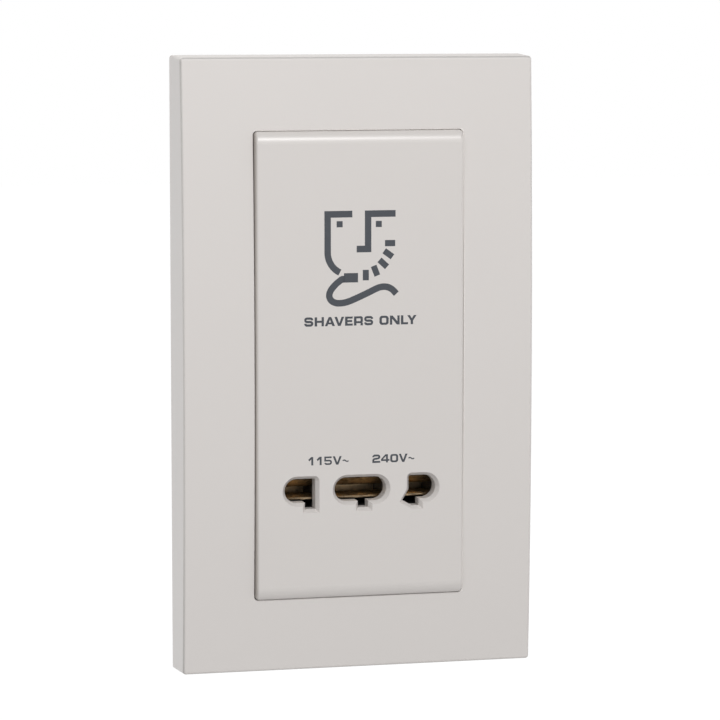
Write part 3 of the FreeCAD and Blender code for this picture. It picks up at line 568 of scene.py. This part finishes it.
letters = {
    "S": (1.02, strokeLetter([(0.915, 0.7), (0.915, 1 - edge, 0.1), (edge, 1 - edge, 0.1), (edge, 0.51, 0.1),
                              (0.915, 0.49, 0.1), (0.915, edge, 0.1), (edge, edge, 0.1), (edge, 0.3)])),
    "H": (1.04, plainLetter([(0, 0), (0, 1), (stem, 1), (stem, 0.6), (0.805, 0.6), (0.805, 1), (1.04, 1),
                             (1.04, 0), (0.805, 0), (0.805, 0.4), (stem, 0.4), (stem, 0)])),
    "A": (1.12, plainLetter([(0, 0), (0.425, 1), (0.695, 1), (1.12, 0), (0.865, 0), (0.785, 0.2),
                             (0.335, 0.2), (0.255, 0)], [(0.41, 0.38), (0.56, 0.75), (0.71, 0.38)])),
    "V": (1.08, plainLetter([(0, 1), (0.26, 1), (0.54, 0.27), (0.82, 1), (1.08, 1), (0.68, 0), (0.4, 0)])),
    "E": (0.86, plainLetter([(0, 0), (0, 1), (0.86, 1), (0.86, 0.8), (stem, 0.8), (stem, 0.6), (0.79, 0.6),
                             (0.79, 0.41), (stem, 0.41), (stem, 0.2), (0.86, 0.2), (0.86, 0)])),
    "R": (1.0, plainLetter([(0, 0), (0, 1), (1.0, 1, 0.22), (1.0, 0.43, 0.06), (0.93, 0.34),
                            (1.0, 0.25, 0.05), (1.0, 0), (0.765, 0), (0.765, 0.26, 0.06),
                            (stem, 0.26), (stem, 0)],
                           [(stem, 0.45), (stem, 0.8), (0.765, 0.8, 0.07), (0.765, 0.45, 0.07)])),
    "O": (1.04, squareLetter(1.04)),
    "N": (1.1, plainLetter([(0, 0), (0, 1), (0.29, 1), (0.865, 0.34), (0.865, 1), (1.1, 1), (1.1, 0),
                            (0.81, 0), (0.235, 0.66), (0.235, 0)])),
    "L": (0.8, plainLetter([(0, 0), (0, 1), (stem, 1), (stem, 0.2), (0.8, 0.2), (0.8, 0)])),
    "Y": (1.03, plainLetter([(0, 1), (0.28, 1), (0.515, 0.62), (0.75, 1), (1.03, 1), (0.635, 0.4), (0.635, 0),
                             (0.395, 0), (0.395, 0.4)])),
    "1": (0.6, plainLetter([(0, 0.67), (0.34, 1), (0.6, 1), (0.6, 0), (0.365, 0), (0.365, 0.72),
                            (0.12, 0.5)])),
    "2": (0.98, strokeLetter([(edge, 0.7), (edge, 1 - edge, 0.1), (0.875, 1 - edge, 0.1), (0.875, 0.56, 0.08),
                              (edge, 0.44, 0.08), (edge, edge), (0.98, edge)])),
    "4": (1.06, plainLetter([(0, 0.2), (0, 0.42), (0.55, 1), (0.86, 1), (0.86, 0.4), (1.06, 0.4), (1.06, 0.2),
                             (0.86, 0.2), (0.86, 0), (0.63, 0), (0.63, 0.2)],
                            [(0.24, 0.4), (0.63, 0.8), (0.63, 0.4)])),
    "5": (0.94, strokeLetter([(0.9, 1 - slimPen / 2), (edge, 1 - slimPen / 2), (edge, 0.51),
                              (0.84, 0.51, 0.1), (0.84, slimPen / 2, 0.1), (edge, slimPen / 2, 0.1),
                              (edge, 0.25)], slimPen)),
    "0": (0.99, squareLetter(0.99)),
    "~": (0.76, tildeLetter()),
}
pairFit = {"AV": -0.19, "LY": -0.22, "HA": -0.03, "VE": -0.04, "11": 0.32, "15": 0.22}

# middle and base place a line on the plate, and cap is the height of its letters
# gap between letters and spread, the ink past a letter's edge, are shares of cap
legendWords = [
    {"name": "legendUse", "text": "SHAVERS ONLY", "middle": 0.0, "base": 9.5 * mm, "cap": 2.16 * mm,
     "gap": 0.145, "spread": 0.018},
    {"name": "legendLow", "text": "115V~", "middle": -7.8 * mm, "base": -23.42 * mm, "cap": 2.0 * mm,
     "gap": 0.1, "spread": 0.004},
    {"name": "legendHigh", "text": "240V~", "middle": 8.05 * mm, "base": -23.32 * mm, "cap": 1.97 * mm,
     "gap": 0.09, "spread": 0.004},
]


# thickens the strokes and keeps the letter's outer size
def boldLetter(mark, spread):
    width, shapes = letters[mark]
    bold = []
    for index, shape in enumerate(shapes):
        drawn = [(spread + x * (1 - 2 * spread / width), spread + y * (1 - 2 * spread)) for x, y in shape]
        bold.append(grown(drawn, -spread if index else spread))
    return width, bold


def layWords(words):
    outlines, across = [], 0.0
    for index, mark in enumerate(words["text"]):
        if mark == " ":
            across += wordSpace
            continue
        width, shapes = boldLetter(mark, words["spread"])
        outlines += [[(x + across, y) for x, y in shape] for shape in shapes]
        across += width + words["gap"] + pairFit.get(words["text"][index:index + 2], 0.0)
    span = max(x for outline in outlines for x, y in outline)
    cap = words["cap"]
    placed = [[(words["middle"] + (x - span / 2) * cap, words["base"] + y * cap) for x, y in outline]
              for outline in outlines]
    inkPiece(words["name"], placed)


for words in legendWords:
    layWords(words)
print("legend words laid:", len(legendWords))


# standard sign for a shaver supply: half-bearded face, shaver and its flex, in millimetres on the plate

signFace = {
    "stroke": 1.57,
    "top": 36.61,
    "left": -8.76,
    "browEnd": -2.0,
    "cheekEnd": (-5.02, 22.1),
    "cheekRadius": 5.2,
    "cheekSteps": 12,
    "noseLeft": 1.04,
    "browRight": 8.52,
    "noseFoot": 26.76,
    "noseTip": -0.95,
    "eyes": [(-5.8, 32.75), (3.7, 32.66)],
    "eye": 1.46,
    "shaver": (-4.03, 19.7, -0.62, 21.92),
    "flex": [(-4.03, 20.49), (-4.5, 20.49), (-5.3, 19.93), (-6.2, 19.16), (-7.25, 17.88), (-7.6, 16.63),
             (-7.15, 15.58), (-6.15, 14.98), (-4.9, 14.85), (-3.4, 15.08), (-1.6, 15.71), (1.56, 17.08),
             (3.6, 18.03), (4.7, 18.43), (5.8, 18.55), (6.8, 18.36), (7.8, 17.78), (8.71, 16.8)],
}


# a smooth curve through the points
def smoothRun(points):
    run = []
    ends = [Vector(point) for point in (points[0], *points, points[-1])]
    for before, start, end, after in zip(ends, ends[1:], ends[2:], ends[3:]):
        slope = end - before
        bend = 2 * before - 5 * start + 4 * end - after
        twist = 3 * start - before - 3 * end + after
        for step in range(arcSteps):
            share = step / arcSteps
            run.append(tuple(start + (slope * share + bend * share ** 2 + twist * share ** 3) / 2))
    return run + [points[-1]]


def boxOutline(left, low, right, high):
    return [(left, low), (left, high), (right, high), (right, low)]


def inMetres(outline):
    return [(x * mm, z * mm) for x, z in outline]


def signOutlines():
    stroke, half = signFace["stroke"], signFace["stroke"] / 2
    top, foot = signFace["top"], signFace["noseFoot"]
    tip, bridge, right = signFace["noseTip"], signFace["noseLeft"], signFace["browRight"]
    endX, endZ = signFace["cheekEnd"]
    radius = signFace["cheekRadius"]
    side = signFace["left"] + half
    sweep = math.acos(1 - (endX - side) / radius)
    cheek = [(signFace["browEnd"], top - half), (side, top - half)]
    for step in range(signFace["cheekSteps"] + 1):
        angle = sweep * step / signFace["cheekSteps"]
        cheek.append((side + radius * (1 - math.cos(angle)),
                      endZ + radius * (math.sin(sweep) - math.sin(angle))))
    nose = [(tip, foot), (tip, foot + stroke), (bridge, foot + stroke), (bridge, top), (right, top),
            (right, top - stroke), (bridge + stroke, top - stroke), (bridge + stroke, foot)]
    eyes = [boxOutline(x, z, x + signFace["eye"], z + signFace["eye"]) for x, z in signFace["eyes"]]
    flex = strokeOutline(smoothRun(signFace["flex"]), stroke)
    drawn = [strokeOutline(cheek, stroke), nose, *eyes, boxOutline(*signFace["shaver"]), flex]
    return [inMetres(outline) for outline in drawn]


inkPiece("legendSign", signOutlines())

beardFan = {                     # five dashes along the jaw
    "centre": (-0.47 * mm, 28.82 * mm),
    "radius": 7.65 * mm,
    "angles": (0.0, -19.2, -38.4, -57.6, -76.8),     # round the centre
    "turns": (0.0, -36.0, -42.5, -68.5, -90.0),      # of each dash itself
    "Length": 2.49 * mm,
    "Width": 1.47 * mm,
    "Thickness": 0.02 * mm,
}


def setInputs(modifier, tree, values):
    for item in tree.interface.items_tree:
        if item.item_type == "SOCKET" and item.in_out == "INPUT" and item.name in values:
            modifier[item.identifier] = values[item.name]


def finishTree(tree, instances, material, give):
    real = addNode(tree, "GeometryNodeRealizeInstances")
    painted = addNode(tree, "GeometryNodeSetMaterial")
    join(tree, instances, real.inputs[0])
    join(tree, real.outputs[0], painted.inputs["Geometry"])
    join(tree, material, painted.inputs["Material"])
    join(tree, painted.outputs[0], give.inputs[0])


def buildBeardFan():
    tree, take, give = newGroup("beardFan", "GeometryNodeTree", [
        ("Geometry", "NodeSocketGeometry", None), ("Length", "NodeSocketFloat", 0.002),
        ("Width", "NodeSocketFloat", 0.001), ("Thickness", "NodeSocketFloat", 0.00002),
        ("Ink", "NodeSocketMaterial", None)], [("Geometry", "NodeSocketGeometry")])
    size = addNode(tree, "ShaderNodeCombineXYZ")
    for label, axis in (("Length", "X"), ("Width", "Y"), ("Thickness", "Z")):
        join(tree, take.outputs[label], size.inputs[axis])
    dash = addNode(tree, "GeometryNodeMeshCube")
    join(tree, size.outputs[0], dash.inputs["Size"])
    own = addNode(tree, "GeometryNodeInputNamedAttribute", {"Name": "turn"}, data_type="FLOAT")
    turn = addNode(tree, "ShaderNodeCombineXYZ")
    join(tree, own.outputs["Attribute"], turn.inputs["Z"])
    copies = addNode(tree, "GeometryNodeInstanceOnPoints")
    join(tree, take.outputs["Geometry"], copies.inputs["Points"])
    join(tree, dash.outputs["Mesh"], copies.inputs["Instance"])
    join(tree, turn.outputs[0], copies.inputs["Rotation"])
    finishTree(tree, copies.outputs[0], take.outputs["Ink"], give)
    return tree


# the mesh that a node tree grows from the points
def growMesh(name, tree, values, points, turns=()):
    base = bpy.data.meshes.new(name + "Base")
    base.from_pydata(points, [], [])
    if turns:
        base.attributes.new("turn", "FLOAT", "POINT").data.foreach_set("value", turns)
    holder = bpy.data.objects.new(name + "Holder", base)
    bpy.context.scene.collection.objects.link(holder)
    modifier = holder.modifiers.new(name, "NODES")
    modifier.node_group = tree
    setInputs(modifier, tree, values)
    shown = holder.evaluated_get(bpy.context.evaluated_depsgraph_get())
    mesh = bpy.data.meshes.new_from_object(shown)
    holder.modifiers.remove(modifier)
    bpy.data.objects.remove(holder)
    return mesh


def layBeard():
    across, up = beardFan["centre"]
    places = [(across + beardFan["radius"] * math.cos(math.radians(angle)),
               up + beardFan["radius"] * math.sin(math.radians(angle)), 0) for angle in beardFan["angles"]]
    mesh = growMesh("legendBeard", buildBeardFan(), {**beardFan, "Ink": inkMaterial}, places,
                    [math.radians(turn) for turn in beardFan["turns"]])
    layOn(mesh, onPlate)
    addPiece("legendBeard", mesh, inkMaterial)


layBeard()
print("sign laid")


# slotted screws in place of the plain CAD ones

screwSets = {
    "terminalScrewSet": "terminal_screws",
    "housingScrewSet": "housing_screws",
    "carrierScrewSet": "carrier_screws",
    "coreScrewSet": "core_screws",
}
screwLook = {
    "slotWidth": 0.3,            # of the head's radius
    "slotDepth": 0.6,            # of the head's height
    "crown": 0.55,               # of the head's height
    "dome": 0.45,                # how far the crown draws in at its top
    "bladeLength": 3.0,          # of the head's radius, past both sides of it
    "headSides": 48,
    "headSteps": 12,
    "shankSides": 24,
    "threadSteps": 20,           # round each turn
    "sharpAngle": 35.0,
    "Thread Pitch": 0.65 * mm,
    "Thread Depth": 0.2 * mm,
    "Seed": 4,                   # how far each one was turned home
}
rimShare = 0.98                  # of a head's radius, where its rim is read
seatMargin = 0.01 * mm           # points further past the seat belong to the shank


# sizes and places of the separate screws in one CAD node
def readScrews(mesh):
    shape = bmesh.new()
    shape.from_mesh(mesh)
    bmesh.ops.remove_doubles(shape, verts=shape.verts, dist=weld["cad"])
    seen, screws = set(), []
    for first in shape.verts:
        if first in seen:
            continue
        seen.add(first)
        waiting, places = [first], []
        while waiting:
            vert = waiting.pop()
            places.append(vert.co.copy())
            for link in vert.link_edges:
                other = link.other_vert(vert)
                if other not in seen:
                    seen.add(other)
                    waiting.append(other)
        screws.append(measureScrew(places))
    shape.free()
    return screws


def measureScrew(places):
    across, depths, heights = zip(*places)
    middleX, middleZ = (min(across) + max(across)) / 2, (min(heights) + max(heights)) / 2
    reach = [math.hypot(x - middleX, z - middleZ) for x, z in zip(across, heights)]
    low, high = min(depths), max(depths)
    rim = [y for y, radius in zip(depths, reach) if radius > rimShare * max(reach)]
    facing = -1 if min(rim) - low < high - max(rim) else 1       # the way the head looks along Y
    seat = max(rim) if facing < 0 else min(rim)
    shank = [radius for y, radius in zip(depths, reach) if (y - seat) * facing < -seatMargin]
    return {"seat": (middleX, seat, middleZ), "facing": facing,
            "headRadius": max(reach), "shankRadius": max(shank),
            "headHeight": (high - seat) if facing > 0 else (seat - low),
            "shankLength": (seat - low) if facing > 0 else (high - seat)}


def lift(tree, mesh, height):
    place = addNode(tree, "ShaderNodeCombineXYZ")
    join(tree, height, place.inputs["Z"])
    moved = addNode(tree, "GeometryNodeTransform")
    join(tree, mesh, moved.inputs["Geometry"])
    join(tree, place.outputs[0], moved.inputs["Translation"])
    return moved.outputs[0]


def screwHead(tree, take):
    radius, height = take.outputs["Head Radius"], take.outputs["Head Height"]
    blank = addNode(tree, "GeometryNodeMeshCylinder", {
        "Vertices": screwLook["headSides"], "Side Segments": screwLook["headSteps"]})
    join(tree, radius, blank.inputs["Radius"])
    join(tree, height, blank.inputs["Depth"])
    raised = lift(tree, blank.outputs["Mesh"], compute(tree, "MULTIPLY", height, 0.5))
    place = addNode(tree, "ShaderNodeSeparateXYZ")
    join(tree, addNode(tree, "GeometryNodeInputPosition").outputs[0], place.inputs[0])
    rim = compute(tree, "SUBTRACT", height, take.outputs["Crown"])
    above = compute(tree, "SUBTRACT", place.outputs["Z"], rim)
    climb = compute(tree, "MAXIMUM", compute(tree, "DIVIDE", above, take.outputs["Crown"]), 0.0)
    drawn = compute(tree, "MULTIPLY", compute(tree, "MULTIPLY", climb, climb), screwLook["dome"])
    pull = compute(tree, "SQRT", compute(tree, "SUBTRACT", 1.0, drawn))
    domed = addNode(tree, "ShaderNodeCombineXYZ")
    for axis in "XY":
        join(tree, compute(tree, "MULTIPLY", place.outputs[axis], pull), domed.inputs[axis])
    join(tree, place.outputs["Z"], domed.inputs["Z"])
    shaped = addNode(tree, "GeometryNodeSetPosition")
    join(tree, raised, shaped.inputs["Geometry"])
    join(tree, domed.outputs[0], shaped.inputs["Position"])
    size = addNode(tree, "ShaderNodeCombineXYZ")
    join(tree, take.outputs["Slot Width"], size.inputs["X"])
    join(tree, compute(tree, "MULTIPLY", radius, screwLook["bladeLength"]), size.inputs["Y"])
    tall = compute(tree, "MULTIPLY", take.outputs["Slot Depth"], 2.0)        # its lower half cuts
    join(tree, tall, size.inputs["Z"])
    blade = addNode(tree, "GeometryNodeMeshCube")
    join(tree, size.outputs[0], blade.inputs["Size"])
    cut = addNode(tree, "GeometryNodeMeshBoolean", operation="DIFFERENCE")
    join(tree, shaped.outputs[0], cut.inputs["Mesh 1"])
    join(tree, lift(tree, blade.outputs["Mesh"], height), cut.inputs["Mesh 2"])
    return cut.outputs["Mesh"]


def screwShank(tree, take):
    length, depth = take.outputs["Shank Length"], take.outputs["Thread Depth"]
    root = compute(tree, "SUBTRACT", take.outputs["Shank Radius"], depth)
    core = addNode(tree, "GeometryNodeMeshCylinder", {"Vertices": screwLook["shankSides"]})
    join(tree, root, core.inputs["Radius"])
    join(tree, length, core.inputs["Depth"])
    coreMesh = lift(tree, core.outputs["Mesh"], compute(tree, "MULTIPLY", length, -0.5))
    run = compute(tree, "SUBTRACT", length, compute(tree, "MULTIPLY", depth, 2.0))
    helix = addNode(tree, "GeometryNodeCurveSpiral", {"Resolution": screwLook["threadSteps"]})
    join(tree, compute(tree, "DIVIDE", run, take.outputs["Thread Pitch"]), helix.inputs["Rotations"])
    join(tree, root, helix.inputs["Start Radius"])
    join(tree, root, helix.inputs["End Radius"])
    join(tree, run, helix.inputs["Height"])
    upright = addNode(tree, "GeometryNodeSetCurveNormal", mode="Z_UP")
    join(tree, helix.outputs["Curve"], upright.inputs["Curve"])
    ridge = addNode(tree, "GeometryNodeCurvePrimitiveCircle", {"Resolution": 4})
    join(tree, depth, ridge.inputs["Radius"])
    thread = addNode(tree, "GeometryNodeCurveToMesh", {"Fill Caps": True})
    join(tree, upright.outputs[0], thread.inputs["Curve"])
    join(tree, ridge.outputs["Curve"], thread.inputs["Profile Curve"])
    return coreMesh, lift(tree, thread.outputs["Mesh"], compute(tree, "SUBTRACT", depth, length))


def buildSlottedScrew():
    sizes = ("Head Radius", "Head Height", "Crown", "Slot Width", "Slot Depth",
             "Shank Radius", "Shank Length", "Thread Pitch", "Thread Depth")
    tree, take, give = newGroup("slottedScrew", "GeometryNodeTree", [
        ("Geometry", "NodeSocketGeometry", None), *((label, "NodeSocketFloat", 0.001) for label in sizes),
        ("Turn", "NodeSocketVector", (0.0, 0.0, 0.0)), ("Seed", "NodeSocketInt", 0),
        ("Steel", "NodeSocketMaterial", None)], [("Geometry", "NodeSocketGeometry")])
    screw = addNode(tree, "GeometryNodeJoinGeometry")
    for mesh in (screwHead(tree, take), *screwShank(tree, take)):
        join(tree, mesh, screw.inputs[0])
    copies = addNode(tree, "GeometryNodeInstanceOnPoints")
    join(tree, take.outputs["Geometry"], copies.inputs["Points"])
    join(tree, screw.outputs[0], copies.inputs["Instance"])
    join(tree, take.outputs["Turn"], copies.inputs["Rotation"])
    chance = addNode(tree, "FunctionNodeRandomValue", data_type="FLOAT")
    low, high = [socket for socket in chance.inputs if socket.type == "VALUE"][:2]
    low.default_value, high.default_value = 0.0, math.pi
    join(tree, take.outputs["Seed"], chance.inputs["Seed"])
    spin = addNode(tree, "ShaderNodeCombineXYZ")
    join(tree, [socket for socket in chance.outputs if socket.type == "VALUE"][0], spin.inputs["Z"])
    turned = addNode(tree, "GeometryNodeRotateInstances", {"Local Space": True})
    join(tree, copies.outputs[0], turned.inputs["Instances"])
    join(tree, spin.outputs[0], turned.inputs["Rotation"])
    finishTree(tree, turned.outputs[0], take.outputs["Steel"], give)
    return tree


def inPlace(x, y, z):
    return x, y, z


def setScrews(name, node, tree):
    screws = readScrews(nodes[node].data)
    first = screws[0]
    values = {
        **screwLook,
        "Head Radius": first["headRadius"], "Head Height": first["headHeight"],
        "Crown": first["headHeight"] * screwLook["crown"],
        "Slot Width": first["headRadius"] * screwLook["slotWidth"],
        "Slot Depth": first["headHeight"] * screwLook["slotDepth"],
        "Shank Radius": first["shankRadius"], "Shank Length": first["shankLength"],
        "Turn": (-math.pi / 2 * first["facing"], 0.0, 0.0), "Steel": finishes["screw_steel"],
    }
    mesh = growMesh(name, tree, values, [screw["seat"] for screw in screws])
    layOn(mesh, inPlace)
    mesh.shade_smooth()
    mesh.set_sharp_from_angle(angle=math.radians(screwLook["sharpAngle"]))
    piece = addPiece(name, mesh, finishes["screw_steel"])
    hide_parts(node)
    print(name, len(screws), "screws, head radius", round(first["headRadius"] / mm, 2), "length",
          round(first["shankLength"] / mm, 2))


slottedScrew = buildSlottedScrew()
for name, node in screwSets.items():
    setScrews(name, node, slottedScrew)


# letters printed on the terminal block, one behind each wire entry

terminalMarks = {
    "letters": {"L": "line_terminal", "N": "neutral_terminal", "E": "earth_terminal"},
    "cap": 2.5 * mm,
    "foot": 26.7 * mm,           # back from the wall's face
    "lift": 0.03 * mm,
    "sink": 0.1 * mm,
    "ink": {"name": "paleInk", "pale": (0.74, 0.73, 0.69), "deep": (0.66, 0.65, 0.61), "rough": (0.45, 0.55),
            "grain": 5200.0, "depth": 0.004 * mm},
}


def markTerminals():
    cap, foot = terminalMarks["cap"], terminalMarks["foot"]
    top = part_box("terminal_block")[1][2]
    above, below = top + terminalMarks["lift"], top - terminalMarks["sink"]
    outlines = []
    for mark, node in terminalMarks["letters"].items():
        low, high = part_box(node)
        width, shapes = letters[mark]
        middle = (low[0] + high[0]) / 2
        for shape in shapes:
            outlines.append([((x - width / 2) * cap - middle, y * cap) for x, y in shape])
    mesh = flatShape("terminalMarks", outlines)
    layOn(mesh, lambda x, y, side: (-x, foot - y, above if side > 0 else below))
    addPiece("terminalMarks", mesh, mouldedPlastic(**terminalMarks["ink"]))


markTerminals()
print("terminals marked")


# stage: floor, light and camera

white = (1, 1, 1, 1)
stage = {
    "floorDrop": 0.055,          # floor below the plate's lower edge
    "floorSize": 6.0,
    "floorColour": (0.6, 0.6, 0.6, 1),
    "floorRough": 0.9,
    "floorGlow": 1.23,
    "glowShare": 0.75,           # of the floor as it is seen, and the rest takes light and shadow
    "skyStrength": 0.48,
    "skySeen": 1.0,
    "lamps": {
        "keySoftbox": {"place": (0.11, -0.57, 0.4), "size": 0.17, "power": 1.85},
        "fillSoftbox": {"place": (-0.22, -0.4, 0.26), "size": 0.3, "power": 0.5},
        "sideSoftbox": {"place": (-0.55, 0.06, 0.22), "size": 0.25, "power": 0.4},
        "topSoftbox": {"place": (0.0, 0.42, 0.5), "size": 0.3, "power": 1.15},
    },
}
cameraSet = {
    "place": (-204.93 * mm, -813.1 * mm, 88.91 * mm),
    "yaw": 14.356,               # degrees to the right
    "pitch": 6.055,              # degrees down
    "lens": 175.93,
    "sensor": 36.0,
    "clipStart": 0.01,
}


# 1 for the rays that should find a white backdrop
def seenRays(tree):
    path = addNode(tree, "ShaderNodeLightPath")
    seen = compute(tree, "MAXIMUM", path.outputs["Is Camera Ray"], path.outputs["Is Glossy Ray"])
    return compute(tree, "MAXIMUM", seen, path.outputs["Is Transmission Ray"])


def makeFloor():
    material, tree, shader = newMaterial("paleFloor")
    shader.inputs["Base Color"].default_value = stage["floorColour"]
    shader.inputs["Roughness"].default_value = stage["floorRough"]
    glow = addNode(tree, "ShaderNodeEmission", {"Color": white, "Strength": stage["floorGlow"]})
    mix = addNode(tree, "ShaderNodeMixShader")
    join(tree, compute(tree, "MULTIPLY", seenRays(tree), stage["glowShare"]), mix.inputs[0])
    join(tree, shader.outputs[0], mix.inputs[1])
    join(tree, glow.outputs[0], mix.inputs[2])
    join(tree, mix.outputs[0], tree.nodes["Material Output"].inputs["Surface"])
    half = stage["floorSize"] / 2
    height = cadBox[0][2] - stage["floorDrop"]
    mesh = bpy.data.meshes.new("floor")
    corners = [(x, y, height) for x, y in boxOutline(-half, -half, half, half)]
    mesh.from_pydata(corners, [], [(3, 2, 1, 0)])
    mesh.materials.append(material)
    floor = bpy.data.objects.new("floor", mesh)
    bpy.context.scene.collection.objects.link(floor)


def makeSky():
    world = bpy.data.worlds.new("studioSky")
    world.use_nodes = True
    bpy.context.scene.world = world
    tree = world.node_tree
    back = tree.nodes["Background"]
    level = addNode(tree, "ShaderNodeMapRange", {"To Min": stage["skyStrength"], "To Max": stage["skySeen"]})
    join(tree, seenRays(tree), level.inputs["Value"])
    back.inputs["Color"].default_value = white
    join(tree, level.outputs["Result"], back.inputs["Strength"])


def makeLamp(name, values):
    lamp = bpy.data.lights.new(name, "AREA")
    lamp.size = values["size"]
    lamp.energy = values["power"]
    holder = bpy.data.objects.new(name, lamp)
    holder.location = values["place"]
    holder.rotation_euler = (-Vector(values["place"])).to_track_quat("-Z", "Y").to_euler()
    holder.visible_camera = False
    bpy.context.scene.collection.objects.link(holder)


def makeCamera():
    camera = bpy.data.cameras.new("camera")
    camera.lens = cameraSet["lens"]
    camera.sensor_width = cameraSet["sensor"]
    camera.clip_start = cameraSet["clipStart"]
    holder = bpy.data.objects.new("camera", camera)
    holder.location = cameraSet["place"]
    yaw, pitch = math.radians(cameraSet["yaw"]), math.radians(cameraSet["pitch"])
    look = Vector((math.sin(yaw) * math.cos(pitch), math.cos(yaw) * math.cos(pitch), -math.sin(pitch)))
    holder.rotation_euler = look.to_track_quat("-Z", "Y").to_euler()
    bpy.context.scene.collection.objects.link(holder)
    bpy.context.scene.camera = holder


makeFloor()
makeSky()
for name, values in stage["lamps"].items():
    makeLamp(name, values)
makeCamera()
bpy.context.scene.view_settings.view_transform = "Standard"
print("stage set")
